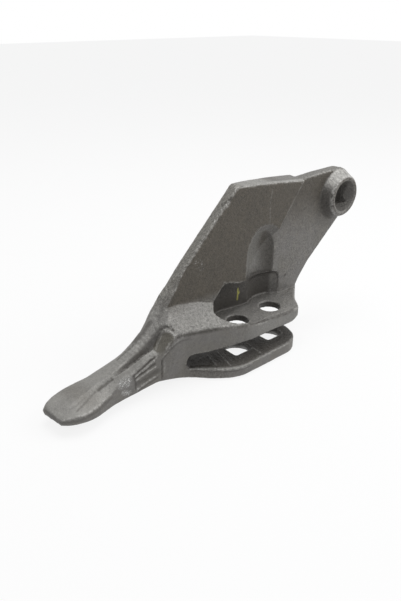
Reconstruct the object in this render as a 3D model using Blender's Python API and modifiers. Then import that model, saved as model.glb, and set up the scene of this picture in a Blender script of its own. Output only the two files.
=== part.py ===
"""Side tooth for a digging bucket: one steel casting, in metres, +Z up.

A chisel tooth runs forward from a neck and a sloping shoulder. Behind the shoulder two jaws grip the bucket's lip
plate, and a wing stands up beside them to shield the front of the bucket's side, with a tapered boss in its top
corner. X runs rearwards along the two bolts, Y from the open side of the jaws towards the wing, and Z up from the
underside of the lower jaw. The origin is half way between the bolts, on that underside.
"""
import math
from collections import namedtuple

import bmesh
import bpy
import numpy as np
from mathutils import Matrix, Vector

MM = 0.001

# Bolts and jaws
BOLT_SPACING = 43.0 * MM
BOLT_HOLE = 20.5 * MM
SQUARE_HOLE = 21.0 * MM
SQUARE_HOLE_CORNER = 2.5 * MM
LOWER_JAW = 12.0 * MM
LIP_SLOT = 16.0 * MM
UPPER_JAW = 14.0 * MM
SLOT_END_X = -82.0 * MM
SLOT_END_RADIUS = 7.9 * MM
SLOT_CEILING_RADIUS = 4.0 * MM
UPPER_JAW_EDGE = 18.5 * MM
LOWER_JAW_EDGE = 27.0 * MM
LOWER_JAW_TAIL_X = 45.5 * MM
JAW_WALL = 7.0 * MM
COUNTERSINK_DIAMETER = 34.0 * MM
COUNTERSINK_ANGLE = math.radians(80.0)

# Wing
WING_FACE_Y = 14.0 * MM
REAR_PLATE = 12.0 * MM
LEADING_ANGLE = math.radians(45.0)
LEADING_FOOT = Vector((-95.0 * MM, 82.0 * MM))
LEADING_SLANT = 5.2 * MM
SLANT_NONE = 80.0 * MM
SLANT_FULL = 100.0 * MM
BLADE_WIDTH = 65.0 * MM
STEP_TOP_X = 71.5 * MM
BLADE_FRONT_THICKNESS = 14.0 * MM
BLADE_RISE_NEAR = 5.0 * MM
BLADE_BACK_Y = 33.0 * MM
WING_TOP = 156.5 * MM
WING_CORNER = 163.0 * MM
WING_TOP_FALL = 7.4 * MM
WING_EDGE_ROUND = 1.6 * MM
REAR_EDGE_ANGLE = math.radians(41.0)
WING_WAIST_X = 75.5 * MM

# Boss on the wing
BOSS_X = 127.5 * MM
BOSS_Z = 130.5 * MM
BOSS_HEIGHT = 12.0 * MM
BOSS_BASE_DIAMETER = 51.0 * MM
BOSS_END_DIAMETER = 41.0 * MM
BOSS_LAND = 1.0 * MM
BOSS_MOUTH_DIAMETER = 33.0 * MM
BOSS_MOUTH_DEPTH = 9.0 * MM
BOSS_SQUARE = 18.0 * MM

# Clearances for a socket around the bolts
POCKET_FRONT_X = -49.0 * MM
POCKET_BACK_Y = 23.4 * MM
POCKET_THROAT_Y = 19.2 * MM
POCKET_TOP = 76.8 * MM
POCKET_THROAT_TOP = 73.0 * MM
SCOOP_X = 20.5 * MM
SCOOP_Y = -8.4 * MM
SCOOP_RADIUS = 29.4 * MM
SCOOP_STRAIGHT = 50.8 * MM
SCOOP_DOME = 38.5 * MM
RECESS_X = 25.5 * MM
RECESS_Y = -6.5 * MM
RECESS_RADIUS = 30.5 * MM
RECESS_STRAIGHT = 22.0 * MM
RECESS_DOME = 8.0 * MM
SPOT_FACE = 0.05 * MM

# The worn tip stands askew: its near corner lies further back. In mm, like the sections
TIP_SKEW = 0.17
TIP_SKEW_REACH = 22.0
TIP_FAR_Y = 31.0

# The shelf along the near edge of the lower jaw, widest at the closed end of the slot. In mm too
SHELF_WIDTH = 7.0
SHELF_LEAST = 1.5
SHELF_DROP = 1.3
SHELF_START_X = -80.0
SHELF_FULL_X = -66.0
SHELF_END_X = -40.0

ROUND_STEPS = 48
LOFT_STEP = 4.0 * MM

LIP_TOP = LOWER_JAW + LIP_SLOT
JAW_TOP = LIP_TOP + UPPER_JAW
NAME = "side_tooth"


def clear_scene():
    for item in list(bpy.data.objects):
        bpy.data.objects.remove(item)


def collection(name):
    made = bpy.data.collections.new(name)
    bpy.context.scene.collection.children.link(made)
    return made


def smooth_curve(xs, ys, at):
    """Values at the places `at` of a smooth curve through the points, which never overshoots them."""
    xs, ys = np.asarray(xs, float), np.asarray(ys, float)
    run, slope = np.diff(xs), np.diff(ys) / np.diff(xs)
    tangent = np.zeros(len(xs))
    for i in range(1, len(xs) - 1):
        if slope[i - 1] * slope[i] > 0:
            before, after = 2 * run[i] + run[i - 1], run[i] + 2 * run[i - 1]
            tangent[i] = (before + after) / (before / slope[i - 1] + after / slope[i])
    tangent[0], tangent[-1] = slope[0], slope[-1]
    i = np.clip(np.searchsorted(xs, at, side="right") - 1, 0, len(run) - 1)
    t = (at - xs[i]) / run[i]
    return ((2 * t**3 - 3 * t**2 + 1) * ys[i] + (t**3 - 2 * t**2 + t) * run[i] * tangent[i]
            + (3 * t**2 - 2 * t**3) * ys[i + 1] + (t**3 - t**2) * run[i] * tangent[i + 1])


def mesh_object(name, bm, group):
    bmesh.ops.recalc_face_normals(bm, faces=bm.faces)
    mesh = bpy.data.meshes.new(name)
    bm.to_mesh(mesh)
    bm.free()
    made = bpy.data.objects.new(name, mesh)
    group.objects.link(made)
    return made


def loft(name, rings, group):
    """A closed skin over a row of rings that have the same number of points."""
    bm = bmesh.new()
    loops = [[bm.verts.new(point) for point in ring] for ring in rings]
    for first, second in zip(loops, loops[1:]):
        count = len(first)
        for i in range(count):
            j = (i + 1) % count
            bm.faces.new((first[i], first[j], second[j], second[i]))
    for end in (loops[0], loops[-1]):
        middle = bm.verts.new(sum((vertex.co for vertex in end), Vector()) / len(end))
        for first, second in zip(end, end[1:] + end[:1]):
            bm.faces.new((first, second, middle))
    bmesh.ops.triangulate(bm, faces=bm.faces)
    return mesh_object(name, bm, group)


def outline_solid(name, points, thickness, group, frame):
    """A flat outline as a filled curve, extruded to its thickness and made a mesh. `frame` places its middle."""
    data = bpy.data.curves.new(name, "CURVE")
    data.dimensions = "2D"
    data.fill_mode = "BOTH"
    data.extrude = thickness / 2
    line = data.splines.new("POLY")
    line.points.add(len(points) - 1)
    for spot, (u, v) in zip(line.points, points):
        spot.co = (u, v, 0, 1)
    line.use_cyclic_u = True
    curve = bpy.data.objects.new(name, data)
    group.objects.link(curve)
    bpy.context.view_layer.update()
    ready = curve.evaluated_get(bpy.context.evaluated_depsgraph_get())
    mesh = bpy.data.meshes.new_from_object(ready)
    bpy.data.objects.remove(curve)
    bm = bmesh.new()
    bm.from_mesh(mesh)
    bmesh.ops.remove_doubles(bm, verts=bm.verts, dist=0.00001)
    bmesh.ops.dissolve_limit(bm, angle_limit=math.radians(0.5), verts=bm.verts, edges=bm.edges)
    bm.transform(frame)
    bpy.data.meshes.remove(mesh)
    return mesh_object(name, bm, group)


def upright(y):
    """Frame of an outline drawn in X and Z, whose middle lies at this y."""
    return Matrix.Translation((0, y, 0)) @ Matrix.Rotation(math.radians(90), 4, "X")


def level(z):
    return Matrix.Translation((0, 0, z))


def mm(*points):
    return [(x * MM, y * MM) for x, y in points]


def arc(centre, radius, start, end, steps=12):
    return [(centre[0] + radius * math.cos(start + (end - start) * i / steps),
             centre[1] + radius * math.sin(start + (end - start) * i / steps)) for i in range(steps + 1)]


def rounded_corner(before, corner, after, radius, steps=6):
    """Points of a corner between two straight edges, rounded to the radius."""
    before, corner, after = Vector(before), Vector(corner), Vector(after)
    a, b = (before - corner).normalized(), (after - corner).normalized()
    half = a.angle(b) / 2
    reach = radius / math.tan(half)
    centre = corner + (a + b).normalized() * (radius / math.sin(half))
    first, last = corner + a * reach - centre, corner + b * reach - centre
    sweep = first.angle_signed(last)
    points = []
    for i in range(steps + 1):
        turn = Matrix.Rotation(-sweep * i / steps, 2)
        points.append(tuple(centre + turn @ first))
    return points


def rounded(corners, steps=6):
    """A closed outline of (x, y, radius) corners."""
    points = []
    for i, (x, y, radius) in enumerate(corners):
        if radius == 0:
            points.append((x, y))
        else:
            before, after = corners[i - 1], corners[(i + 1) % len(corners)]
            points += rounded_corner(before[:2], (x, y), after[:2], radius, steps)
    return points


def rounded_square(x, y, side, corner):
    half = side / 2
    return rounded([(x - half, y - half, corner), (x + half, y - half, corner),
                    (x + half, y + half, corner), (x - half, y + half, corner)], 4)


def turned(name, profile, group, frame):
    """A profile of (radius, height) points, turned once round its axis with a Screw modifier."""
    mesh = bpy.data.meshes.new(name)
    mesh.from_pydata([(radius, 0, height) for radius, height in profile],
                     [(i, i + 1) for i in range(len(profile) - 1)], [])
    made = bpy.data.objects.new(name, mesh)
    group.objects.link(made)
    made.matrix_world = frame
    screw = made.modifiers.new("turn", "SCREW")
    screw.steps = ROUND_STEPS
    screw.render_steps = ROUND_STEPS
    screw.use_merge_vertices = True
    screw.merge_threshold = 0.00005
    return made


def combine(body, other, operation, cutters):
    """Boolean of the casting with another solid, which is kept as a hidden wire."""
    step = body.modifiers.new(other.name, "BOOLEAN")
    step.operation = operation
    step.object = other
    step.solver = "EXACT"
    if other.name not in cutters.objects:
        cutters.objects.link(other)
    other.hide_render = True
    other.display_type = "WIRE"


# The lower body, drawn as cross-sections from the tip of the tooth to the tail of the jaws. Each has the same
# points: side_low and side_high are the near side of the lower and the upper part, edge is the near top arris,
# ledge, groove and rail follow across the top, and the far side closes it. crown lifts the top beyond the rail.
Section = namedtuple("Section", "x bottom low_y low_z high_y high_z edge_y edge_z ledge_y ledge_z"
                                " groove_y groove_z rail_y rail_z far_y far_z keel_z crown", defaults=(0.3,))

SECTIONS = [
    Section(-207, 10.0, 6.5, 12.0, 6.0, 13.5, 6.5, 15.0, 12.0, 15.3, 14.0, 15.3, 16.0, 15.5, 30.5, 15.5, 10.0),
    Section(-201, 9.4, 3.0, 12.2, 2.5, 14.5, 3.0, 16.4, 10.5, 17.0, 12.5, 17.0, 14.5, 17.2, 34.5, 17.8, 8.5),
    Section(-193, 9.6, -0.5, 13.0, -1.0, 15.5, -0.3, 17.6, 9.5, 18.8, 11.5, 18.8, 13.5, 19.6, 37.0, 19.5, 6.5),
    Section(-184, 8.9, -1.5, 12.5, -2.0, 15.0, -1.3, 17.3, 10.0, 20.0, 12.0, 20.0, 14.0, 21.3, 37.5, 21.3, 4.0),
    Section(-174, 7.4, 0.0, 11.5, -0.8, 15.5, 0.0, 18.3, 12.0, 22.0, 13.5, 22.2, 15.0, 23.6, 37.0, 22.6, 2.5),
    Section(-164, 7.2, 2.5, 11.5, 2.0, 17.0, 2.8, 19.8, 12.5, 24.4, 14.0, 24.6, 15.5, 26.2, 35.5, 24.3, 2.5),
    Section(-155, 7.4, 4.5, 12.0, 4.2, 20.0, 5.0, 23.0, 12.0, 27.6, 13.5, 27.6, 15.0, 29.0, 34.0, 27.6, 3.0),
    Section(-145, 7.8, 5.0, 12.5, 4.8, 24.0, 5.8, 27.4, 10.5, 31.6, 12.5, 30.0, 14.6, 33.4, 32.5, 31.0, 4.0),
    Section(-132, 8.1, 5.2, 12.5, 4.8, 27.5, 5.8, 31.0, 10.0, 35.4, 12.3, 31.0, 14.6, 38.8, 31.0, 36.2, 5.0),
    Section(-120, 9.2, 5.0, 13.0, 4.2, 33.0, 5.2, 36.8, 9.5, 40.3, 11.8, 36.0, 14.3, 44.4, 30.0, 44.5, 6.0),
    Section(-113, 9.5, 4.9, 13.4, 3.6, 35.0, 4.4, 38.4, 9.0, 42.3, 11.2, 39.0, 13.4, 49.8, 30.0, 50.0, 6.0, 2.5),
    Section(-110, 9.4, 4.8, 13.5, 3.4, 36.0, 4.4, 39.5, 8.8, 44.6, 11.0, 42.0, 12.8, 51.6, 30.0, 52.0, 6.0, 4.5),
    Section(-105, 8.4, 4.7, 13.2, 2.8, 37.0, 5.2, 46.0, 8.2, 54.4, 10.6, 51.4, 12.4, 57.6, 30.5, 58.0, 5.2, 4.2),
    Section(-101, 7.4, 4.6, 13.0, 0.6, 41.0, 2.8, 50.4, 5.2, 57.0, 8.6, 60.0, 13.0, 64.4, 31.0, 64.0, 4.5, 2.6),
    Section(-98, 6.6, 4.5, 12.8, -0.8, 40.0, -1.2, 53.6, 3.4, 59.2, 8.5, 63.2, 13.0, 69.4, 31.5, 67.5, 3.6, 1.6),
    Section(-95, 5.8, 4.4, 12.5, -1.4, 34.0, -2.6, 54.0, 3.0, 60.0, 8.5, 66.2, 13.0, 73.2, 32.0, 70.0, 3.0, 1.0),
    Section(-86, 3.4, 3.6, 11.2, -1.6, 28.0, -2.8, 53.0, 3.0, 59.4, 8.5, 67.0, 13.0, 75.0, 33.5, 73.0, 1.5),
    Section(-76, 0.9, 0.2, 10.7, -3.6, 27.0, -4.0, 52.0, 2.0, 58.2, 8.0, 66.4, 13.0, 74.6, 34.5, 73.0, 0.3),
    Section(-66, 0.0, -8.4, 10.7, -7.4, 27.0, -7.4, 51.8, 0.0, 57.7, 7.0, 65.2, 13.0, 73.4, 35.0, 73.0, 0.0),
    Section(-57, 0.0, -16.3, 10.7, -10.2, 27.0, -10.2, 51.2, -2.0, 56.4, 6.0, 63.2, 13.0, 71.4, 35.0, 73.0, 0.0),
    Section(-46, 0.0, -23.4, 10.7, -12.9, 27.0, -12.9, 48.6, -4.0, 53.2, 5.0, 59.8, 13.0, 67.6, 35.0, 72.0, 0.0),
    Section(-34, 0.0, -26.7, 10.7, -15.3, 27.0, -15.3, 46.4, -6.0, 50.0, 4.0, 55.6, 13.0, 63.4, 35.0, 72.0, 0.0),
    Section(-21, 0.0, -27.0, 10.7, -17.8, 27.0, -17.8, 44.6, -8.0, 46.6, 3.0, 50.0, 13.0, 56.0, 35.0, 72.0, 0.0),
    Section(-8, 0.0, -27.0, 10.7, -18.5, 27.0, -18.5, 42.8, -9.0, 42.6, 2.0, 42.8, 13.0, 44.0, 35.0, 72.0, 0.0),
    Section(6, 0.0, -27.0, 10.7, -18.5, 27.0, -18.5, 42.0, -9.0, 42.0, 2.0, 42.0, 14.5, 42.0, 35.0, 60.0, 0.0),
    Section(30, 0.0, -27.0, 10.7, -19.8, 27.0, -19.8, 41.2, -9.0, 42.0, 2.0, 42.0, 14.5, 42.0, 35.0, 50.0, 0.0),
    Section(80, 0.0, -27.0, 10.7, -20.8, 27.0, -20.8, 41.2, -9.0, 42.0, 2.0, 42.0, 14.5, 42.0, 35.0, 46.0, 0.0),
]


def shelf_width(x):
    """How far the shelf of the lower jaw reaches in from the near edge."""
    if x < SHELF_START_X:
        return 0.0
    widening = (x - SHELF_START_X) / (SHELF_FULL_X - SHELF_START_X)
    narrowing = (SHELF_END_X - x) / (SHELF_END_X - SHELF_FULL_X)
    return SHELF_LEAST + (SHELF_WIDTH - SHELF_LEAST) * max(0.0, min(1.0, widening, narrowing))


def section_ring(s):
    """The points of one cross-section, round from the near bottom corner, up the near side and over the top."""
    width = s.far_y - s.low_y
    chamfer = min(1.2, 0.2 * (s.edge_z - s.high_z))
    lip = min(0.6, 0.4 * (s.rail_z - s.groove_z))
    shelf_z = s.low_z + SHELF_DROP + 0.3
    lean = (s.high_y - s.low_y) * (shelf_z - s.low_z) / (s.high_z - s.low_z)
    return [
        (s.low_y + 1.2, s.bottom),
        (s.low_y, s.bottom + 1.2),
        (s.low_y, s.low_z),
        (s.low_y + lean + shelf_width(s.x), shelf_z),
        (s.high_y, s.high_z),
        (s.edge_y, s.edge_z - chamfer),
        (s.edge_y + chamfer, s.edge_z),
        (s.ledge_y, s.ledge_z),
        (s.groove_y, s.groove_z),
        (s.rail_y, s.rail_z - lip),
        (s.rail_y + 1.0, s.rail_z),
        (0.4 * s.rail_y + 0.6 * s.far_y, 0.4 * s.rail_z + 0.6 * s.far_z + s.crown),
        (s.far_y - 2.0, s.far_z),
        (s.far_y, s.far_z - 2.0),
        (s.far_y, s.bottom + 2.5),
        (s.far_y - 2.0, s.bottom),
        (s.low_y + 0.72 * width, s.keel_z),
        (s.low_y + 0.28 * width, s.keel_z),
    ]


def lower_body(parts):
    xs = [s.x for s in SECTIONS]
    rings = np.array([section_ring(s) for s in SECTIONS])
    count = int((xs[-1] - xs[0]) * MM / LOFT_STEP)
    stations = sorted(set(np.linspace(xs[0], xs[-1], count + 1)) | set(float(x) for x in xs))
    stations = [x for i, x in enumerate(stations) if x in xs or min(abs(x - k) for k in xs) > 1.0]
    stations = np.array(stations)
    fine = np.empty((len(stations), rings.shape[1], 2))
    for point in range(rings.shape[1]):
        for axis in range(2):
            fine[:, point, axis] = smooth_curve(xs, rings[:, point, axis], stations)
    skins = []
    for x, ring in zip(stations, fine):
        askew = TIP_SKEW * max(0.0, 1 - (x - xs[0]) / TIP_SKEW_REACH)
        skins.append([((x + askew * (TIP_FAR_Y - y)) * MM, y * MM, z * MM) for y, z in ring])
    return loft(NAME, skins, parts)


def leading_line(z):
    """The x of the wing's leading edge at a height."""
    return LEADING_FOOT[0] + (z - LEADING_FOOT[1]) / math.tan(LEADING_ANGLE)


def behind_leading(x, z):
    """Distance of a place on the wing behind its leading edge."""
    return (x - LEADING_FOOT[0]) * math.sin(LEADING_ANGLE) - (z - LEADING_FOOT[1]) * math.cos(LEADING_ANGLE)


def tapered_plate(name, points, near, back, parts, slant=lambda z: 0):
    """An upright plate over an outline, whose two faces lie where `near` and `back` say for each place.

    `slant` says how far the back outline lies behind the near one.
    """
    plate = outline_solid(name, points, 1.0 * MM, parts, upright(0))
    for vertex in plate.data.vertices:
        x, y, z = vertex.co
        if y < 0:
            vertex.co.y = near(x, z)
        else:
            vertex.co.x = x + slant(z)
            vertex.co.y = back(vertex.co.x, z)
    bevel = plate.modifiers.new("cast edges", "BEVEL")
    bevel.width = WING_EDGE_ROUND
    bevel.segments = 2
    bevel.limit_method = "ANGLE"
    bevel.angle_limit = math.radians(40)
    plate.modifiers.new("flat facets", "TRIANGULATE")
    return plate


def wing_blade(parts):
    """The thick front of the wing, which grows from its leading edge to the step that the bucket's side meets."""
    foot = 33.0 * MM
    tail_x = 33.0 * MM
    corner = leading_line(WING_CORNER)
    shares = [step / 7 for step in range(1, 8)]
    top_line = [(corner + (STEP_TOP_X - corner) * share, WING_CORNER - WING_TOP_FALL * share**1.5, 0)
                for share in shares]
    points = rounded([
        (-116.0 * MM, 40.0 * MM, 0),
        (-111.0 * MM, 50.0 * MM, 0),
        (-102.3 * MM, 61.5 * MM, 0),
        (-94.6 * MM, 73.0 * MM, 0),
        (-89.2 * MM, 80.0 * MM, 0),
        (-82.6 * MM, 89.0 * MM, 0),
        (leading_line(SLANT_FULL), SLANT_FULL, 0),
        (corner, WING_CORNER, 5.0 * MM),
        *top_line,
        (41.0 * MM, 116.5 * MM, 0),
        (tail_x, 104.0 * MM, 0),
        (tail_x, foot, 0),
        (-80.0 * MM, foot, 0),
    ])

    def slant(z):
        share = min(1.0, max(0.0, (z - SLANT_NONE) / (SLANT_FULL - SLANT_NONE)))
        return LEADING_SLANT * share - 2.0 * MM * (1 - share)

    def near(x, z):
        return WING_FACE_Y - BLADE_RISE_NEAR * behind_leading(x, z) / BLADE_WIDTH

    def back(x, z):
        front = WING_FACE_Y + BLADE_FRONT_THICKNESS
        return front + (BLADE_BACK_Y - front) * behind_leading(x, z) / BLADE_WIDTH

    return tapered_plate("wing_blade", points, near, back, parts, slant)


def wing_plate(parts):
    """The thin rear of the wing, rounded about the boss, with its rear edge running down to the jaws."""
    radius = BOSS_BASE_DIAMETER / 2 + BOSS_LAND
    turn = -(math.radians(90) - REAR_EDGE_ANGLE)
    tip = arc((BOSS_X, BOSS_Z), radius, math.radians(90), turn, 20)
    foot = tip[-1]
    drop = 46.0 * MM
    slope_end = (foot[0] - drop / math.tan(REAR_EDGE_ANGLE), foot[1] - drop)
    points = [(20.0 * MM, 154.0 * MM), (78.0 * MM, WING_TOP - 0.6 * MM), (100.0 * MM, WING_TOP + 0.3 * MM)]
    points += tip
    points += [slope_end]
    points += [(86.5 * MM, 57.5 * MM), (79.5 * MM, 48.5 * MM), (76.0 * MM, 42.0 * MM), (WING_WAIST_X, 36.0 * MM)]
    points += [(-60.0 * MM, 36.0 * MM), (-40.0 * MM, 60.0 * MM)]
    return tapered_plate("wing_plate", points, lambda x, z: WING_FACE_Y,
                         lambda x, z: WING_FACE_Y + REAR_PLATE, parts)


def boss(parts):
    """The tapered boss on the near face of the wing."""
    sink = 4.0 * MM
    base = BOSS_BASE_DIAMETER / 2
    end = BOSS_END_DIAMETER / 2
    lip = 1.5 * MM
    flare = (base - end) / BOSS_HEIGHT
    profile = [(0, BOSS_HEIGHT), (end - lip, BOSS_HEIGHT), (end, BOSS_HEIGHT - lip), (base + flare * sink, -sink),
               (0, -sink)]
    frame = Matrix.Translation((BOSS_X, WING_FACE_Y, BOSS_Z)) @ Matrix.Rotation(math.radians(90), 4, "X")
    return turned("boss", profile, parts, frame)


def boss_cutters(cutters):
    """The conical mouth of the boss and the square hole behind it."""
    mouth = BOSS_MOUTH_DIAMETER / 2
    throat = BOSS_SQUARE / 2
    slope = (mouth - throat) / BOSS_MOUTH_DEPTH
    over = 2.0 * MM
    profile = [(0, over), (mouth + over * slope, over), (0, -mouth / slope)]
    frame = Matrix.Translation((BOSS_X, WING_FACE_Y - BOSS_HEIGHT, BOSS_Z)) @ Matrix.Rotation(math.radians(90), 4, "X")
    cone = turned("boss_mouth", profile, cutters, frame)
    length = BOSS_HEIGHT + REAR_PLATE + 20.0 * MM
    square = outline_solid("boss_square", rounded_square(BOSS_X, BOSS_Z, BOSS_SQUARE, 1.5 * MM), length, cutters,
                           upright(WING_FACE_Y))
    return [cone, square]


def slot_cutter(cutters):
    """The gap for the lip plate between the jaws, rounded at its closed front end."""
    tail = 120.0 * MM
    points = rounded([(SLOT_END_X, LOWER_JAW, SLOT_END_RADIUS), (tail, LOWER_JAW, 0), (tail, LIP_TOP, 0),
                      (SLOT_END_X, LIP_TOP, SLOT_CEILING_RADIUS)])
    return outline_solid("lip_slot", points, 120.0 * MM, cutters, upright(0))


def jaw_relief(cutters):
    """The hollow under the upper jaw, which leaves a thinner wall at the bolts and a full rim round the edge."""
    far = 60.0 * MM
    plan = [(-40.0 * MM, -6.5 * MM), (-20.0 * MM, -11.5 * MM), (10.0 * MM, -13.0 * MM), (37.0 * MM, -13.5 * MM),
            (42.0 * MM, -7.0 * MM), (47.0 * MM, 0.0), (54.0 * MM, 7.0 * MM), (62.0 * MM, 13.0 * MM),
            (66.0 * MM, far), (-40.0 * MM, far)]
    low = LIP_TOP - 3.0 * MM
    high = JAW_TOP - JAW_WALL
    return outline_solid("jaw_relief", plan, high - low, cutters, level((low + high) / 2))


def tail_cutters(cutters):
    """What shapes the rear ends of the two jaws in plan."""
    far = 60.0 * MM
    outer = 110.0 * MM
    upper = [(38.0 * MM, -UPPER_JAW_EDGE - 3.0 * MM), (40.5 * MM, -20.4 * MM), (43.6 * MM, -18.0 * MM),
             (46.6 * MM, -14.3 * MM), (51.4 * MM, -7.2 * MM), (56.6 * MM, -1.9 * MM), (63.4 * MM, 4.0 * MM),
             (69.5 * MM, 9.0 * MM), (WING_WAIST_X, WING_FACE_Y), (WING_WAIST_X + 2.0 * MM, far),
             (outer, far), (outer, -far), (38.0 * MM, -far)]
    upper_cut = outline_solid("upper_jaw_tail", upper, 40.0 * MM, cutters, level(LIP_TOP + 12.0 * MM))
    tail = LOWER_JAW_TAIL_X
    lower = [(17.0 * MM, -LOWER_JAW_EDGE - 0.1 * MM), (24.0 * MM, -26.5 * MM), (29.5 * MM, -25.0 * MM),
             (34.0 * MM, -22.8 * MM), (37.6 * MM, -19.8 * MM), (40.2 * MM, -16.2 * MM), (42.0 * MM, -12.2 * MM),
             (43.8 * MM, -7.0 * MM), (45.0 * MM, -2.0 * MM), (tail, 4.0 * MM), (tail, 23.0 * MM),
             (tail - 3.0 * MM, WING_FACE_Y + REAR_PLATE), (-66.0 * MM, WING_FACE_Y + REAR_PLATE), (-84.0 * MM, far),
             (130.0 * MM, far), (130.0 * MM, -far), (17.0 * MM, -far)]
    lower_cut = outline_solid("lower_jaw_tail", lower, 42.0 * MM, cutters, level(LIP_TOP - 22.0 * MM))
    return [upper_cut, lower_cut]


def bolt_cutters(cutters):
    """Round holes through the upper jaw, and square ones through the lower that are countersunk from below."""
    made = []
    rim = COUNTERSINK_DIAMETER / 2
    taper = math.tan(COUNTERSINK_ANGLE / 2)
    over = 3.0 * MM
    for side, label in ((-1, "front"), (1, "rear")):
        x = side * BOLT_SPACING / 2
        round_hole = turned(label + "_bolt_hole",
                            [(0, 40.0 * MM), (BOLT_HOLE / 2, 40.0 * MM), (BOLT_HOLE / 2, -10.0 * MM), (0, -10.0 * MM)],
                            cutters, Matrix.Translation((x, 0, JAW_TOP - 10.0 * MM)))
        square = outline_solid(label + "_square_hole", rounded_square(x, 0, SQUARE_HOLE, SQUARE_HOLE_CORNER),
                               2.5 * LOWER_JAW, cutters, level(LOWER_JAW / 2))
        cone = turned(label + "_countersink", [(0, rim / taper), (rim + over * taper, -over), (0, -over)],
                      cutters, Matrix.Translation((x, 0, 0)))
        made += [round_hole, square, cone]
    return made


def dome_profile(radius, straight, dome, steps=8):
    """Profile of a round cutter: straight up from the floor, then closed by a dome."""
    points = [(radius * math.sin(math.radians(90) * i / steps), straight + dome * math.cos(math.radians(90) * i / steps))
              for i in range(steps + 1)]
    return points + [(radius, 0), (0, 0)]


def front_pocket(cutters, floor):
    """The pocket at the front bolt: what its plan and its outline on the wing's face have in common."""
    throat_x = SCOOP_X - 8.5 * MM
    plan = mm((-47.5, -0.2), (-42.4, -5.0), (-37.3, -8.4), (-33.2, -10.2), (-27.9, -12.2), (-21.4, -14.2), (-12.0, -16.5))
    plan += [(throat_x, -18.0 * MM), (throat_x, POCKET_THROAT_Y), (0, POCKET_THROAT_Y),
             (-18.0 * MM, POCKET_BACK_Y - 0.6 * MM), (-25.0 * MM, POCKET_BACK_Y)]
    plan += mm((-32.0, 21.8), (-39.0, 17.5), (-45.0, 11.0)) + [(POCKET_FRONT_X, 3.0 * MM)]
    face = [(POCKET_FRONT_X - 1.0 * MM, floor), (throat_x + 1.0 * MM, floor), (throat_x + 1.0 * MM, POCKET_THROAT_TOP),
            (-12.0 * MM, POCKET_THROAT_TOP), (-24.0 * MM, POCKET_TOP), (-29.0 * MM, POCKET_TOP - 0.4 * MM)]
    face += mm((-33.1, 73.3), (-36.3, 69.6), (-40.2, 65.5), (-43.0, 62.3)) + [(POCKET_FRONT_X - 1.0 * MM, 57.0 * MM)]
    height = 60.0 * MM
    pocket = outline_solid("front_pocket", plan, height, cutters, level(floor + height / 2 - 1.0 * MM))
    sight = outline_solid("pocket_sight", face, 90.0 * MM, cutters, upright(0))
    combine(pocket, sight, "INTERSECT", cutters)
    return pocket


def clearance_cutters(cutters):
    """Room for a socket round each bolt, sunk into the shoulder and the wing down to the upper jaw."""
    floor = JAW_TOP - SPOT_FACE
    pocket = front_pocket(cutters, floor)
    scoop = turned("rear_scoop", dome_profile(SCOOP_RADIUS, SCOOP_STRAIGHT, SCOOP_DOME), cutters,
                   Matrix.Translation((SCOOP_X, SCOOP_Y, floor)))
    recess = turned("rear_recess", dome_profile(RECESS_RADIUS, RECESS_STRAIGHT, RECESS_DOME), cutters,
                    Matrix.Translation((RECESS_X, RECESS_Y, floor - SPOT_FACE)))
    return [pocket, scoop, recess]


def cast_steel():
    material = bpy.data.materials.new("as_cast_steel")
    material.use_nodes = True
    shader = material.node_tree.nodes["Principled BSDF"]
    shader.inputs["Base Color"].default_value = (0.13, 0.125, 0.115, 1)
    shader.inputs["Metallic"].default_value = 0.7
    shader.inputs["Roughness"].default_value = 0.6
    return material


def build():
    clear_scene()
    parts = collection(NAME + "_part")
    cutters = collection("cutters")
    body = lower_body(parts)
    for solid in tail_cutters(cutters):
        combine(body, solid, "DIFFERENCE", cutters)
    for solid in (wing_plate(cutters), wing_blade(cutters), boss(cutters)):
        combine(body, solid, "UNION", cutters)
    holes = [slot_cutter(cutters), jaw_relief(cutters)] + clearance_cutters(cutters)
    holes += bolt_cutters(cutters) + boss_cutters(cutters)
    for solid in holes:
        combine(body, solid, "DIFFERENCE", cutters)
    body.data.materials.append(cast_steel())
    body.data.shade_smooth()
    body.data.set_sharp_from_angle(angle=math.radians(30))


build()
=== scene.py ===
"""Looks of the bucket side tooth: the casting's skin and its material, the camera and the light.

The row frame's X runs rearwards along the row of bolts, Y towards the wing and Z up. Lengths are in metres
where nothing else is said.
"""
import math
from collections import namedtuple

import bmesh
import bpy
import numpy as np
from mathutils import Matrix, Vector, noise
from mathutils.bvhtree import BVHTree


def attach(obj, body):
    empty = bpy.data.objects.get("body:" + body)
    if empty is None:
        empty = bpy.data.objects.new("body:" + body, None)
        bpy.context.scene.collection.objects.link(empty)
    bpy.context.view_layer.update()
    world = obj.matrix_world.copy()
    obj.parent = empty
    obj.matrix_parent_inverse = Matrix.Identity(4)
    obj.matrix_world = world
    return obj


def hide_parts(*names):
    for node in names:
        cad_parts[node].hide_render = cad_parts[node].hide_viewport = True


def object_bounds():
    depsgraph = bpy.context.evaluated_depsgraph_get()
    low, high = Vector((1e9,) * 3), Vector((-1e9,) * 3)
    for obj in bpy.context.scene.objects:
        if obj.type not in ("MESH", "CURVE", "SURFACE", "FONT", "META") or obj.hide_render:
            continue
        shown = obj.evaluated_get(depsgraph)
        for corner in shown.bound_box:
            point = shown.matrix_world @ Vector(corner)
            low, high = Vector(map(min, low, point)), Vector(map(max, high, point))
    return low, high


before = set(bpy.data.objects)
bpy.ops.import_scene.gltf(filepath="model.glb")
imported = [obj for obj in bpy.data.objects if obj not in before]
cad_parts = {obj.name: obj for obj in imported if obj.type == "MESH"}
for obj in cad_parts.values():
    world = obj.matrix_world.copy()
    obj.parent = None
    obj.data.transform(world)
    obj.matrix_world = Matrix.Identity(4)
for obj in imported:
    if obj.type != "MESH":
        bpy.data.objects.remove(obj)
CAD_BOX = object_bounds()
MM = 0.001

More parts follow.
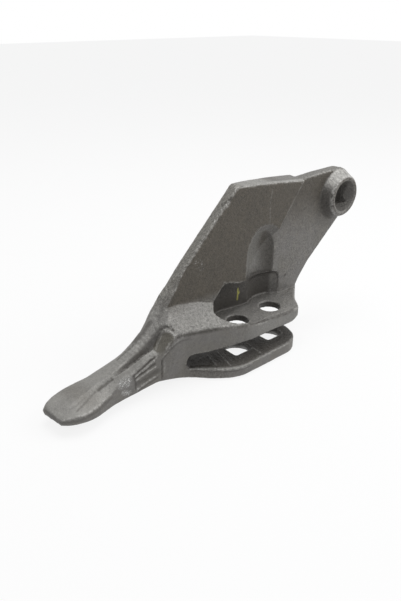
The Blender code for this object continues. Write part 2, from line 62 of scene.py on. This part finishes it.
# The camera of the photograph
CAMERA_AT = (-0.3359, -0.3183, 0.2958)
CAMERA_AZIMUTH = -40.22
CAMERA_ELEVATION = 27.63
CAMERA_FOCAL = 550.0
IMAGE_LONG_SIDE = 601.0
SENSOR_WIDTH = 36.0

# The light, and the share of the floor that the camera sees as plain white
ROOM_LIGHT = 0.5
ROOM_TINT = (0.98, 0.99, 1.0, 1)
LAMPS_AIM = (-0.03, 0.01, 0.07)
FLOOR_WHITE = 0.85
FLOOR_GREY = (0.75, 0.75, 0.75, 1)
FLOOR_REACH = 6
WHITE = (1, 1, 1, 1)

# Colours of the cast surface, and of the painted shade and light laid over it
GREY = (0.157, 0.150, 0.141, 1)
WARM_GREY = (0.142, 0.134, 0.120, 1)
# Lighter grey: dust and painted light on upward faces, a lighter tone on the jaw's tail, and painted light
# on the scoops' lit left wall
LIGHTER_GREY = (0.214, 0.209, 0.195, 1)
BROWN_SCALE = (0.075, 0.065, 0.051, 1)
OLIVE = (0.118, 0.110, 0.092, 1)
# Painted shade: recesses, corners, the grooves and shadows of the marks, and the boss's side turned from
# the light
PAINTED_SHADE_BROWN = (0.042, 0.037, 0.031, 1)
PALE = (0.46, 0.45, 0.43, 1)
BRIGHT = (0.85, 0.85, 0.83, 1)
YELLOW = (0.42, 0.40, 0.10, 1)

# The skin of the casting
VOXEL = 1.25 * MM
ARRIS_SHARE = 0.4
SAME_POINT = 0.002 * MM
WANDER = 0.6 * MM
RAIL_RIPPLE_MM = 0.2
TAIL_ROUNDING = 4 * MM
INSIDE_BOX = 0.02 * MM
# The corners, in mm, of the boxes where the mesh is twice as fine
FINE_BOXES = [((-152, -6, 0), (-92, 13, 64)), ((-84, -32, 5), (-20, 6, 14))]

# A mark is a line of points in mm, with its half width and its height in mm (real relief),
# and a tone from -1 (darker) to 1 (paler) that paints shade into grooves and shadows and light onto ridges,
# lips and beads
Mark = namedtuple("Mark", "line width height tone")

NECK_MARKS = [
    Mark([(-143.5, 12.8, 30.5), (-135.8, 13.6, 33.7), (-128.4, 13.8, 37.4), (-121, 13.7, 41.4)],
          3.2, 0, -0.7),
    Mark([(-128.4, 13.8, 37.4), (-121, 13.7, 41.4), (-114, 13.1, 46.3), (-108.1, 12.2, 51.8),
          (-103.3, 10, 55.9), (-100.3, 6.7, 59.2)], 4.6, 0, -0.75),
    Mark([(-135, 5, 27.1), (-127.7, 5.1, 30.5), (-120.6, 4.8, 34.3), (-113.5, 4.3, 37.1)], 1.4, -0.6, -1),
    Mark([(-133.7, 4.8, 26.6), (-124.1, 4.5, 30.2), (-114.7, 3.7, 34.5)], 1.0, 0.5, 0.7),
    Mark([(-133.2, 4.8, 24.6), (-123.7, 4.5, 27.7), (-114.2, 3.9, 31.3)], 1.3, -0.5, -0.9),
    Mark([(-132.7, 4.9, 22.7), (-123.2, 4.6, 25.3), (-113.6, 4, 28.1)], 1.0, 0.5, 0.9),
    Mark([(-132.6, 5, 18.5), (-122.4, 4.8, 20), (-112.1, 4.4, 22.5)], 3.4, -0.3, -0.7),
    Mark([(-132, 5.2, 13), (-122.5, 5, 15.5), (-112.4, 4.6, 18.1)], 1.2, 0.3, 1),
    Mark([(-131, 5.2, 10.6), (-121.5, 5, 13), (-111.5, 4.6, 15.4)], 1.1, -0.3, -0.6),
    Mark([(-135.2, 4.8, 26.5), (-134.2, 5, 20.3), (-133.8, 5.2, 13.8)], 1.1, -0.4, -0.7),
    Mark([(-106.8, 3.4, 31.9), (-106.7, 3.9, 24.8), (-106.5, 4.5, 17.1), (-106.8, 4.7, 11.8)],
          1.2, -0.6, -0.9),
    Mark([(-104.6, 3.4, 29.4), (-104.3, 4.3, 18.4)], 1.0, 0.2, 0.35),
    Mark([(-106.8, 3.4, 31.9), (-103.4, 2.3, 36.1), (-100.4, 0.4, 40.9), (-95.6, -2, 46.1),
          (-89.5, -2.4, 46.8), (-81.1, -3, 46.3)], 1.1, -0.3, -0.5),
    Mark([(-105.5, 3.2, 35), (-102, 1.9, 39.5), (-98.8, -0.5, 45), (-94.5, -2.3, 49.5), (-88, -2.6, 50)],
          1.0, 0.2, 0.4),
    Mark([(-110.5, 7.3, 42.1), (-107.2, 7.9, 47.5), (-104.3, 7.3, 52.6)], 0.9, 0.2, 0.4),
    Mark([(-95.4, -1.8, 53.3), (-98.8, 0, 49.9), (-101.3, 1.9, 45), (-103.3, 2.9, 41.9)], 1.1, 0.25, 0.5),
    Mark([(-103, 9.5, 57.7), (-100.7, 7.6, 59.5), (-98.7, 6, 60.5), (-96.9, 4.2, 60.2), (-95.6, 1.8, 58.1)],
          1.7, -0.6, -0.9),
    Mark([(-101.3, 6.8, 58.1), (-99.3, 3.9, 57.7), (-97.4, 1, 55.8), (-95.7, -1, 54.1)], 1.2, 0.4, 0.6),
    Mark([(-135.5, 5.6, 28.7), (-127.7, 6.3, 32.9), (-120.1, 6.7, 37.5), (-113.9, 7.9, 40.8)],
          2.6, 0.2, 0.3),
    Mark([(-113.9, 7.9, 40.8), (-112.2, 6.6, 40.2), (-112.4, 4, 36.6)], 1.6, 0.2, 0.4),
    Mark([(-106.4, 21.3, 59.5), (-111, 22.5, 54.7), (-115.2, 24.5, 49.4), (-119.2, 25.9, 45.3)],
          4.0, 0, -0.8),
    Mark([(-138.1, 25.4, 34.8), (-128.5, 25.6, 39.1), (-119.8, 23.5, 45), (-113, 21.5, 52)],
          1.5, -0.5, -0.8),
    Mark([(-123, 20.8, 42.5), (-113.1, 18.4, 50.9), (-104.3, 15.5, 59.7), (-96, 11, 67)], 6.0, 0, 0.3),
]
TOOTH_MARKS = [
    Mark([(-153, 11.9, 28.4), (-158.6, 12.3, 26.2), (-165.4, 12.4, 24)], 1.9, -0.7, -1),
    Mark([(-168.3, 12.4, 23.3), (-174.9, 10.8, 21.5), (-182.1, 8.2, 19.7), (-188.8, 5.9, 18.7)],
          1.1, -0.4, -0.6),
    Mark([(-201.3, 5.9, 13.6), (-195.7, 1.8, 14.2), (-190.1, -0.8, 14.6), (-183.4, -1.4, 14.6),
          (-175.7, -0.6, 15), (-167, 1.5, 15.8), (-158.9, 3.7, 17.6)], 1.8, -0.1, -0.5),
    Mark([(-201.3, 6.2, 16), (-195.7, 2.6, 17), (-190.1, 0, 17.4), (-183.4, -0.6, 17.4),
          (-175.7, 0.2, 17.8), (-167, 2.3, 18.6), (-158.9, 4.3, 20.4)], 1.0, 0.15, 0.35),
    Mark([(-206.1, 28.5, 15.7), (-205.8, 24.1, 14.8), (-204.8, 17.9, 13.6), (-203.7, 11.7, 13),
          (-202.9, 6.7, 13.2)], 2.2, -0.6, -0.65),
]
JAW_MARKS = [
    Mark([(-93.9, -2.6, 52.6), (-86.4, -2.8, 51.7), (-76.3, -3.9, 49.8), (-67.4, -6.9, 49.7),
          (-58.4, -9.8, 49.6), (-48.5, -12, 48.4), (-38.2, -14, 46.4), (-27.6, -16.1, 44.9),
          (-15.4, -16.7, 43.8), (-2, -16.6, 41.9), (10.2, -17.9, 41.3), (23.3, -18.8, 40.7),
          (34.4, -19.1, 40.8)], 2.2, -0.6, -1),
    Mark([(-93.9, -0.4, 53.6), (-76.3, -1.7, 51), (-58.4, -7.6, 50.2), (-38.2, -12, 47.6),
          (-15.4, -14.6, 44.2)], 1.1, 0.3, 0.6),
    Mark([(-77.8, 1.5, 11.1), (-72.7, -2.2, 10.4), (-68, -6.5, 10.4), (-62.7, -11.4, 10.5),
          (-57.3, -16.1, 10.3), (-51.4, -20.4, 9.8), (-44.8, -23.9, 9.7), (-38.1, -26.1, 9.6),
          (-27.5, -27, 10)], 1.1, 0.4, 0.5),
    Mark([(-77.8, 1.5, 8.6), (-68, -6.5, 8.2), (-57.3, -16.1, 8), (-44.8, -23.9, 7.6), (-30, -27, 8)],
          1.0, -0.3, -0.5),
    Mark([(-52.5, 6, 12), (-57.6, -12.5, 12)], 0.9, 0.3, 0.45),
    Mark([(-41, 6, 12), (-43.2, -1.8, 12), (-47, -19, 12)], 0.9, 0.3, 0.45),
    Mark([(-9, 0, 12), (-10.5, -12.5, 12), (-11.2, -23, 12)], 0.9, 0.3, 0.45),
    Mark([(-49, 6, 12), (-53.5, -12, 12)], 2.6, -0.2, -0.5),
    Mark([(-36, 4, 12), (-41, -20, 12)], 2.6, -0.2, -0.5),
    Mark([(-3.5, 2, 12), (-6, -22, 12)], 2.6, -0.2, -0.4),
    Mark([(21.1, 23.7, 42.5), (29.7, 23.7, 42.5), (37.6, 21.5, 42.5), (44, 17.7, 42.4), (51.7, 14, 44),
          (67.1, 14, 43.9)], 1.1, 0, 0.4),
]
WING_MARKS = [
    Mark([(-98, 12.5, 68), (-95.4, 13, 71.4), (-92.8, 14.5, 75.8), (-88.7, 14, 80)], 6.0, 0, -0.6),
    Mark([(-26.8, 18.5, 148.5), (-24.1, 16.6, 152), (-20.7, 13.9, 154.1)], 1.4, -0.7, -0.9),
    Mark([(-27.5, 15, 146.5), (-22.5, 13.2, 150.5)], 1.1, 0.3, 0.6),
    Mark([(30.6, 11, 158), (26.8, 11, 149.5), (26, 10.3, 135.7), (25.6, 9.7, 124.4)], 0.9, 0.1, 0.2),
    Mark([(13.1, 20, 70.1), (22.2, 20.9, 70.3), (29.3, 19.6, 70), (36.9, 15.9, 69.3), (44.3, 15.9, 66),
          (47.3, 14.8, 61.1), (47.9, 14.2, 47.7)], 1.0, -0.3, -0.85),
    Mark([(-30.1, 10.3, 79.1), (-23.1, 9.8, 77.6), (-16, 9.3, 74.5), (-9.9, 9, 74.3)], 1.0, 0.15, 0.35),
    Mark([(57.4, 14, 59.1), (58.4, 14, 59.6)], 1.3, -0.5, -0.8),
    Mark([(66.2, 14, 128.2), (72.7, 14, 123.8), (81.5, 14, 125)], 1.1, -0.2, -0.35),
    Mark([(134, 17.2, 156.5), (132.9, 11, 153.8), (130, 6, 152)], 1.0, -0.3, -0.6),
]
MARKS = NECK_MARKS + TOOTH_MARKS + JAW_MARKS + WING_MARKS

# Places in mm: limits between which a finish changes, middles, and the middle lines of patches
NECK_END_X = (-112, -100)
SHOULDER_END_X = (-48, -38)
BOLTS_X = (-21.5, 21.5)
BOSS_AT = (127.5, 130.5)
BOSS_END_RADIUS = 20.4
JAW_TAIL_CORNER = [(41, -20, 28), (41, 10, 28)]
YELLOW_STREAK = [(-2.5, 19.7, 61.1), (-2.7, 19.7, 57.4), (-3, 19.8, 53.2), (-3.2, 19.8, 49.4)]
FACET = [(-106.5, 6.5, 44.5), (-100.8, 2.8, 51.5)]
RAIL = [(-140.3, 18.1, 35), (-130.9, 20.5, 38.6), (-121.7, 20.8, 43.5), (-113.1, 18.4, 50.9)]
BRIGHT_CHIPS = [(-147, 5.1, 24.3), (-141, 5.2, 26), (-142, 4.8, 23)]
LOWER_CHIPS = [(-145.9, 4.9, 15.7), (-141, 5.1, 13.2)]
BROWN_STAIN = [(-181.6, 29.9, 21.8), (-179, 17.9, 22.4), (-175.2, 8.9, 20.8)]
SCUFFS = [(-60.3, 13.5, 107.2), (-53.1, 12.8, 101.7), (-57.6, 12.8, 97.3)]


class Value:
    """A shader number, on which Python's operators make Math nodes."""

    def __init__(self, nodes, socket):
        self.nodes = nodes
        self.socket = socket

    def math(self, operation, other, clamp=False):
        return self.nodes.math(operation, self, other, clamp=clamp)

    def __add__(self, other):
        return self.math("ADD", other)

    def __sub__(self, other):
        return self.math("SUBTRACT", other)

    def __mul__(self, other):
        return self.math("MULTIPLY", other)

    def __rsub__(self, other):
        return self.nodes.math("SUBTRACT", other, self)

    __radd__ = __add__
    __rmul__ = __mul__

    def clip(self):
        return self.math("ADD", 0.0, clamp=True)


class Nodes:
    """Makes and links the nodes of one material or of the world."""

    def __init__(self, owner):
        owner.use_nodes = True
        self.tree = owner.node_tree

    def put(self, socket, value):
        if isinstance(value, Value):
            self.tree.links.new(value.socket, socket)
        else:
            socket.default_value = value

    def fill(self, node, inputs, output=0):
        """Puts values or links on a node's sockets, and gives the value of one output."""
        for socket, value in inputs.items():
            self.put(node.inputs[socket], value)
        return Value(self, node.outputs[output])

    def make(self, kind, inputs, output=0, **settings):
        """One new node with its settings, then its sockets, as the value of one output."""
        node = self.tree.nodes.new(kind)
        for name, value in settings.items():
            setattr(node, name, value)
        return self.fill(node, inputs, output)

    def math(self, operation, *values, clamp=False):
        return self.make("ShaderNodeMath", dict(enumerate(values)), operation=operation, use_clamp=clamp)

    def scale(self, vector, amount):
        return self.make("ShaderNodeVectorMath", {0: vector, "Scale": amount}, operation="SCALE")

    def attribute(self, name):
        return self.make("ShaderNodeAttribute", {}, "Fac", attribute_name=name)

    def place(self):
        """Where the point is, in millimetres of the row frame."""
        return self.scale(self.make("ShaderNodeTexCoord", {}, "Object"), 1 / MM)

    def parts(self, vector):
        split = self.make("ShaderNodeSeparateXYZ", {0: vector}).socket.node
        return [Value(self, output) for output in split.outputs]

    def noise(self, at, size, detail=3.0, roughness=0.55):
        """Noise from 0 to 1 whose features are about `size` mm across."""
        return self.make("ShaderNodeTexNoise",
                         {"Vector": at, "Scale": 1 / size, "Detail": detail, "Roughness": roughness})

    def rise(self, value, low, high):
        """0 below low, 1 above high, smooth between them."""
        return self.make("ShaderNodeMapRange", {"Value": value, "From Min": low, "From Max": high},
                         interpolation_type="SMOOTHSTEP")

    def fall(self, value, low, high):
        return 1 - self.rise(value, low, high)

    def mix(self, share, first, second):
        """Colour between two colours."""
        return self.make("ShaderNodeMix", {0: share, 6: first, 7: second}, 2, data_type="RGBA")

    def bump(self, height):
        """The normal of a surface raised by `height` mm."""
        return self.make("ShaderNodeBump", {"Height": height, "Distance": MM, "Strength": 1.0})

    def show(self, output, lit, white, share=1.0):
        """Sends `lit` out, with `share` of `white` over it where the camera or a reflection looks."""
        camera_ray, glossy_ray = [self.make("ShaderNodeLightPath", {}, name)
                                  for name in ("Is Camera Ray", "Is Glossy Ray")]
        background = camera_ray.math("MAXIMUM", glossy_ray) * share
        mixed = self.make("ShaderNodeMixShader", {0: background, 1: lit, 2: white})
        self.put(self.tree.nodes[output].inputs["Surface"], mixed)


def casting_skin():
    """The CAD node's surface as a fine even mesh that lies on the CAD faces."""
    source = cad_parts["side_tooth"]
    mesh = source.data.copy()
    mesh.materials.clear()
    bm = bmesh.new()
    bm.from_mesh(mesh)
    bmesh.ops.remove_doubles(bm, verts=bm.verts, dist=SAME_POINT)
    faces = BVHTree.FromBMesh(bm)
    bm.to_mesh(mesh)
    bm.free()
    made = bpy.data.objects.new("casting", mesh)
    bpy.context.scene.collection.objects.link(made)
    remesh = made.modifiers.new("even mesh", "REMESH")
    remesh.mode = "VOXEL"
    remesh.voxel_size = VOXEL
    bpy.context.view_layer.update()
    fine = bpy.data.meshes.new_from_object(made.evaluated_get(bpy.context.evaluated_depsgraph_get()))
    made.modifiers.clear()
    made.data = fine
    lay_on(fine, faces)
    bm = bmesh.new()
    bm.from_mesh(fine)
    for low, high in FINE_BOXES:
        inside = [edge for edge in bm.edges if all(low[i] * MM < vert.co[i] < high[i] * MM
                                                   for vert in edge.verts for i in range(3))]
        bmesh.ops.subdivide_edges(bm, edges=inside, cuts=1, use_grid_fill=True)
    bmesh.ops.triangulate(bm, faces=[face for face in bm.faces if len(face.verts) > 4])
    bm.to_mesh(fine)
    bm.free()
    lay_on(fine, faces)
    return made


def lay_on(mesh, faces):
    """Puts each vertex on the nearest CAD face, then softens the arrises a little."""
    places, ends = mesh_arrays(mesh)
    places = np.array([faces.find_nearest(Vector(place))[0] for place in places])
    places = spread(places, ends, 1, ARRIS_SHARE)
    mesh.vertices.foreach_set("co", places.ravel())
    mesh.update()


def mesh_arrays(mesh):
    """Vertex places and the two ends of each edge, as arrays."""
    places = np.zeros(len(mesh.vertices) * 3)
    mesh.vertices.foreach_get("co", places)
    ends = np.zeros(len(mesh.edges) * 2, int)
    mesh.edges.foreach_get("vertices", ends)
    return places.reshape(-1, 3), ends.reshape(-1, 2)


def normals_of(mesh):
    normals = np.zeros(len(mesh.vertices) * 3)
    mesh.vertices.foreach_get("normal", normals)
    return normals.reshape(-1, 3)


def spread(places, ends, rounds, share=0.5):
    """Places averaged with their neighbours along the edges, some rounds."""
    count = np.bincount(ends.ravel(), minlength=len(places)).astype(float)
    for _ in range(rounds):
        total = np.stack([np.bincount(ends[:, 0], places[ends[:, 1], i], len(places))
                          + np.bincount(ends[:, 1], places[ends[:, 0], i], len(places))
                          for i in range(3)], 1)
        places = places + share * (total / count[:, None] - places)
    return places


def rise(values, low, high):
    """0 below low, 1 above high, smooth between them."""
    t = np.clip((values - low) / (high - low), 0, 1)
    return t * t * (3 - 2 * t)


def fall(values, low, high):
    return 1 - rise(values, low, high)


def near_line(places, line, width, soft=1.0):
    """1 on a line of points (in mm), falling to 0 at `width` mm from it."""
    best = np.full(len(places), 1e9)
    for start, end in zip(line, line[1:]):
        a = np.array(start) * MM
        run = np.array(end) * MM - a
        t = np.clip((places - a) @ run / (run @ run), 0, 1)
        best = np.minimum(best, np.linalg.norm(places - a - t[:, None] * run, axis=1))
    return fall(best, width * (1 - soft) * MM, width * MM)


def field(places, size, seed, octaves=3):
    """Smooth noise from about -1 to 1 at each place, with features of `size` mm."""
    scale = 1 / (size * MM)
    shift = Vector((seed * 7.3, seed * 3.1, seed * 5.7))
    return np.array([noise.fractal(Vector(p) * scale + shift, 0.6, 2.0, octaves) for p in places])


def finish_and_painted_light_masks(places, ends, normals):
    """Where each finish, painted shade and painted light lies, by the names that the material reads, with
    all limits in mm.

    They run from 0 to about 1, but hollow is from -1 on an arris to 1 in a corner.
    """
    x, y, z = (places / MM).T
    toward_front, toward_side, upward = -normals[:, 0], -normals[:, 1], normals[:, 2]
    bend = ((spread(places, ends, 5) - places) * normals).sum(1) / MM

    lead = rise(z - x, 166, 173) * rise(toward_front + upward, 0.5, 0.9) * rise(z, 62, 74)
    shoulder = rise(upward, 0.5, 0.8) * rise(x, -108, -98) * fall(x, -30, 0) * rise(z, 43, 46)
    boss_top = rise(x, 84, 92) * rise(upward, 0.3, 0.7) * fall(y, 13, 14)
    tooth_and_neck = fall(x, *NECK_END_X)
    low_sides = rise(toward_side, 0.8, 0.95) * fall(z, 50, 60) * rise(x, *NECK_END_X)

    # Painted shade: the scoops, the slot under the upper jaw, the bolt holes and the boss's mouth, where
    # they lie in shade
    scoops = rise(x, -56, -50) * fall(x, 39, 43) * rise(y, 14.4, 16) * rise(z, 41, 43)
    scoops = scoops * rise(toward_side, -0.2, 0.1)
    slot = rise(z, 10.8, 11.8) * fall(z, 27.5, 29) * rise(x, -84, -78) * rise(np.abs(upward), 0.3, 0.6)
    bolt_holes = np.zeros(len(places))
    for bolt_x in BOLTS_X:
        radius = np.hypot(x - bolt_x, y)
        bolt_holes += fall(radius, 10.4, 11.2) * fall(z, 41, 42)
        bolt_holes += fall(radius, 12, 15.5) * fall(z, 11.5, 11.9)
    boss_radius = np.hypot(x - BOSS_AT[0], z - BOSS_AT[1])
    mouth = fall(boss_radius, 15.5, 17) * rise(y, 2.3, 3.5) * (1 - 0.4 * rise(toward_front, 0.2, 0.7))

    return {
        "lead": lead,
        "coarse": np.clip(lead + 0.7 * shoulder + 0.3 * near_line(places, RAIL, 7) + 0.7 * boss_top, 0, 1),
        "smooth": np.clip(tooth_and_neck + low_sides, 0, 1),
        "hollow": np.clip(bend * 3, -1, 1),
        "painted_recess_shade": np.clip(scoops + slot * 1.2 + bolt_holes * 0.8 + mouth, 0, 1.2),
        # The boss's cone, where the material paints shade on the side turned from the light and light on
        # its top
        "boss": rise(boss_radius, 16.4, 17.4) * fall(boss_radius, 26, 27) * fall(y, 13.2, 13.9),
        "boss_arris": fall(np.abs(boss_radius - BOSS_END_RADIUS), 0.6, 1.5) * fall(y, 4, 6),
        "facet": near_line(places, FACET, 6.5, 0.25),
        "stain": near_line(places, BROWN_STAIN, 17),
        "chips": np.clip(near_line(places, BRIGHT_CHIPS, 5.5) + near_line(places, LOWER_CHIPS, 3.5), 0, 1),
        "scuffs": near_line(places, SCUFFS, 5),
    }


def roughen(made):
    """Moves the skin by what the foundry and the grinder left, and stores where each finish and each
    painted shade and light lies.
    """
    mesh = made.data
    places, ends = mesh_arrays(mesh)
    normals = normals_of(mesh)
    shares = finish_and_painted_light_masks(places, ends, normals)
    wander = np.stack([field(places, 3.5, seed, 2) for seed in (5, 6, 7)], 1) * WANDER
    wandered = places + wander
    shares["streak"] = near_line(wandered, YELLOW_STREAK, 1.1, 0.5)

    move = 0.14 * field(places, 24, 1) + 0.05 * field(places, 6, 2)
    move += shares["coarse"] * 0.12 * field(places, 2.8, 3, 2)
    dark, pale = np.zeros(len(places)), np.zeros(len(places))
    broken_up = np.clip(1.15 + 0.9 * field(places, 3.0, 9, 2), 0.3, 1)
    # A mark's height is real relief; its tone is painted shade in grooves and shadows and painted light on
    # ridges, lips and beads, broken up by noise
    for mark in MARKS:
        line = near_line(wandered, mark.line, mark.width * 1.2, 0.7) * broken_up
        move += mark.height * line
        dark = np.maximum(dark, -mark.tone * line)
        pale = np.maximum(pale, mark.tone * line)
    shares.update(dark=dark, pale=pale)
    for name, values in shares.items():
        layer = mesh.attributes.new(name, "FLOAT", "POINT")
        layer.data.foreach_set("value", values.astype(np.float32))

    x, z = places[:, 0] / MM, places[:, 2] / MM
    move += near_line(places, RAIL, 5.5, 0.4) * RAIL_RIPPLE_MM * np.sin(x * 1.9)
    places = places + normals * (move * MM)[:, None]
    tail = near_line(places, JAW_TAIL_CORNER, 9)
    places[:, 2] += tail * tail * fall(z, 34, 42) * TAIL_ROUNDING
    low = np.array(CAD_BOX[0]) + INSIDE_BOX
    high = np.array(CAD_BOX[1]) - INSIDE_BOX
    places = np.clip(places, low, high)
    mesh.vertices.foreach_set("co", places.ravel())
    mesh.update()
    mesh.polygons.foreach_set("use_smooth", np.ones(len(mesh.polygons), bool))
    return made


def cast_steel():
    """Dull grey cast steel: brown scale on the wing, tops lighter with dust and painted light from above,
    sand grain all over, and the marks, with painted shade in recesses and corners and on sides turned from
    the light.
    """
    material = bpy.data.materials.new("as_cast_steel")
    n = Nodes(material)
    at = n.place()
    x, y, z = n.parts(at)
    facing = n.parts(n.make("ShaderNodeNewGeometry", {}, "Normal"))
    upward = n.rise(facing[2], 0.25, 0.8)
    sideways = n.rise(facing[1] * -1, 0.8, 0.95)
    lead, coarse, hollow = n.attribute("lead"), n.attribute("coarse"), n.attribute("hollow")
    chips, boss = n.attribute("chips"), n.attribute("boss")

    cloud = n.noise(at, 30)
    patch = n.noise(at, 8, 4, 0.6)
    mottle = n.noise(at, 2.6, 3, 0.65)
    grain = n.noise(at, 1.2, 2, 0.7)
    flecks = n.rise(n.noise(at, 1.7, 2, 0.6), 0.54, 0.66)
    chipped = chips * n.rise(n.noise(at, 1.1, 3, 0.75), 0.51, 0.59)
    spotty = n.rise(mottle, 0.3, 0.6)

    in_scoop = n.rise(y, 14.3, 15)
    above_recess = n.rise(z, 68, 74)
    rear_of_lead = n.rise(x - z * 0.775, -51.5, -48.5)
    front_panel = sideways * n.rise(z, 64, 76) * (1 - rear_of_lead) * (1 - lead)
    rear_panel = sideways * rear_of_lead * n.rise(z, 92, 146) * 0.9
    jaw_top = upward * n.rise(x, *SHOULDER_END_X) * n.rise(z, 38, 40) * n.fall(z, 44, 46)
    jaw_tail = sideways * n.rise(x, -45, 5) * n.rise(z, 27, 29) * n.fall(z, 42, 44)
    shoulder = upward * n.rise(x, -108, -98) * n.fall(x, *SHOULDER_END_X) * n.rise(z, 43, 46) * (1 - lead)
    lead_foot = lead * n.fall(z, 74, 92) * n.fall(y, 15, 22)
    lit_scoop = above_recess * n.fall(x, 50, 60)
    # Painted light on the scoop's left wall, which faces the light, and painted shade on its right wall,
    # which faces away
    scoop_left_painted_light = in_scoop * n.rise(z, 74, 80) * n.fall(z, 124, 128) * n.rise(x, -6, 0) * n.fall(x, 18, 28)
    scoop_right_painted_shade = in_scoop * above_recess * n.rise(x, 20, 38)
    turned_from_light = n.rise(facing[0] * -0.8 - facing[2], -0.1, 0.5)
    scuffs = n.attribute("scuffs") * flecks * 0.5
    edge_flecks = lead * flecks * n.rise(hollow * -1, -0.1, 0.3) * 0.5

    layers = [
        # Upward faces lighter: painted light from above, and dust; less on the jaw's top
        (upward * (0.85 - jaw_top * 0.55), LIGHTER_GREY),
        (lead * 0.7, OLIVE),
        (lead_foot * 0.8, BROWN_SCALE),
        (shoulder * 0.16, PALE),
        (jaw_tail * 0.65, LIGHTER_GREY),
        ((front_panel + rear_panel).clip(), BROWN_SCALE),
        (n.attribute("facet"), OLIVE),
        (n.attribute("stain") * 0.4, BROWN_SCALE),
        # Painted shade in the scoops, the slot, the bolt holes and the boss's mouth, less where the scoop
        # is lit, and on the scoop's right wall
        ((n.attribute("painted_recess_shade") * (0.82 - 0.66 * lit_scoop) + scoop_right_painted_shade * 0.6).clip(), PAINTED_SHADE_BROWN),
        # Painted light on the scoop's left wall
        (scoop_left_painted_light * 0.6, LIGHTER_GREY),
        # Painted shade on the boss's side turned from the light, and painted light on its top
        (boss * turned_from_light * 0.75, PAINTED_SHADE_BROWN),
        (boss * upward * 0.45, PALE),
        (n.attribute("boss_arris") * spotty * 0.4, PALE),
        # Painted shade in corners and creases
        (n.rise(hollow, 0.2, 0.8) * 0.5, PAINTED_SHADE_BROWN),
        (n.rise(hollow * -1, 0.25, 0.8) * n.rise(mottle, 0.35, 0.65) * 0.25, PALE),
        # Painted shade of the marks' grooves and shadows
        ((n.attribute("dark") * (0.8 + (mottle - 0.5) * 1.2)).clip(), PAINTED_SHADE_BROWN),
        # Painted light of the marks' ridges, lips and beads
        ((n.attribute("pale") * spotty * 0.75).clip(), PALE),
        ((scuffs + edge_flecks).clip(), PALE),
        (chips * 0.14 + chipped * 0.75, BRIGHT),
        (n.attribute("streak"), YELLOW),
    ]
    base = n.mix(n.rise(cloud + (patch - 0.5) * 0.5, 0.35, 0.7), GREY, WARM_GREY)
    for share, colour in layers:
        base = n.mix(share, base, colour)

    rough = 1 - n.attribute("smooth") * 0.55
    light = 1 + (patch - 0.5) * 0.6 + (mottle - 0.5) * (rough + coarse * 0.8) + (grain - 0.5) * rough * 1.3
    height = (grain - 0.5) * rough * 0.6 + (mottle - 0.5) * (rough * 0.7 + coarse * 1.4) + chipped * 0.5
    n.fill(n.tree.nodes["Principled BSDF"], {
        "Base Color": n.scale(base, light),
        "Metallic": 0.2,
        "Roughness": (0.5 + (patch - 0.5) * 0.3 - chipped * 0.25).clip(),
        "Normal": n.bump(height),
    })
    return material


def camera():
    azimuth, elevation = math.radians(CAMERA_AZIMUTH), math.radians(CAMERA_ELEVATION)
    back = Vector((math.sin(azimuth) * math.cos(elevation), -math.cos(azimuth) * math.cos(elevation),
                   math.sin(elevation)))
    right = Vector((math.cos(azimuth), math.sin(azimuth), 0))
    turn = Matrix((right, back.cross(right), back)).transposed().to_4x4()
    data = bpy.data.cameras.new("camera")
    data.sensor_width = SENSOR_WIDTH
    data.lens = CAMERA_FOCAL / IMAGE_LONG_SIDE * SENSOR_WIDTH
    data.clip_start = 0.01
    made = bpy.data.objects.new("camera", data)
    made.matrix_world = Matrix.Translation(CAMERA_AT) @ turn
    bpy.context.scene.collection.objects.link(made)
    bpy.context.scene.camera = made


def white_floor():
    """A pale floor that the camera sees as the photograph's white ground."""
    bm = bmesh.new()
    bmesh.ops.create_grid(bm, x_segments=1, y_segments=1, size=FLOOR_REACH)
    mesh = bpy.data.meshes.new("floor")
    bm.to_mesh(mesh)
    bm.free()
    made = bpy.data.objects.new("floor", mesh)
    bpy.context.scene.collection.objects.link(made)
    material = bpy.data.materials.new("pale_floor")
    n = Nodes(material)
    pale = n.fill(n.tree.nodes["Principled BSDF"], {"Base Color": FLOOR_GREY, "Roughness": 0.9})
    n.show("Material Output", pale, n.make("ShaderNodeEmission", {"Color": WHITE}), FLOOR_WHITE)
    mesh.materials.append(material)


def white_world():
    world = bpy.data.worlds.new("surround")
    bpy.context.scene.world = world
    n = Nodes(world)
    dim = n.fill(n.tree.nodes["Background"], {"Color": ROOM_TINT, "Strength": ROOM_LIGHT})
    n.show("World Output", dim, n.make("ShaderNodeBackground", {"Color": WHITE}))


def lamp(name, at, power, size):
    """A soft square lamp that faces the middle of the part."""
    data = bpy.data.lights.new(name, "AREA")
    data.energy = power
    data.size = size
    made = bpy.data.objects.new(name, data)
    bpy.context.scene.collection.objects.link(made)
    aim = Vector(at) - Vector(LAMPS_AIM)
    made.matrix_world = Matrix.Translation(at) @ aim.to_track_quat("Z", "Y").to_matrix().to_4x4()


bpy.context.scene.view_settings.view_transform = "Standard"
casting = roughen(casting_skin())
casting.data.materials.append(cast_steel())
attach(casting, "root")
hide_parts("side_tooth")
camera()
white_floor()
white_world()
lamp("overhead", (0.1, 0.1, 1.2), 9, 0.7)
lamp("right_of_camera", (0.75, -0.5, 0.8), 5, 0.6)
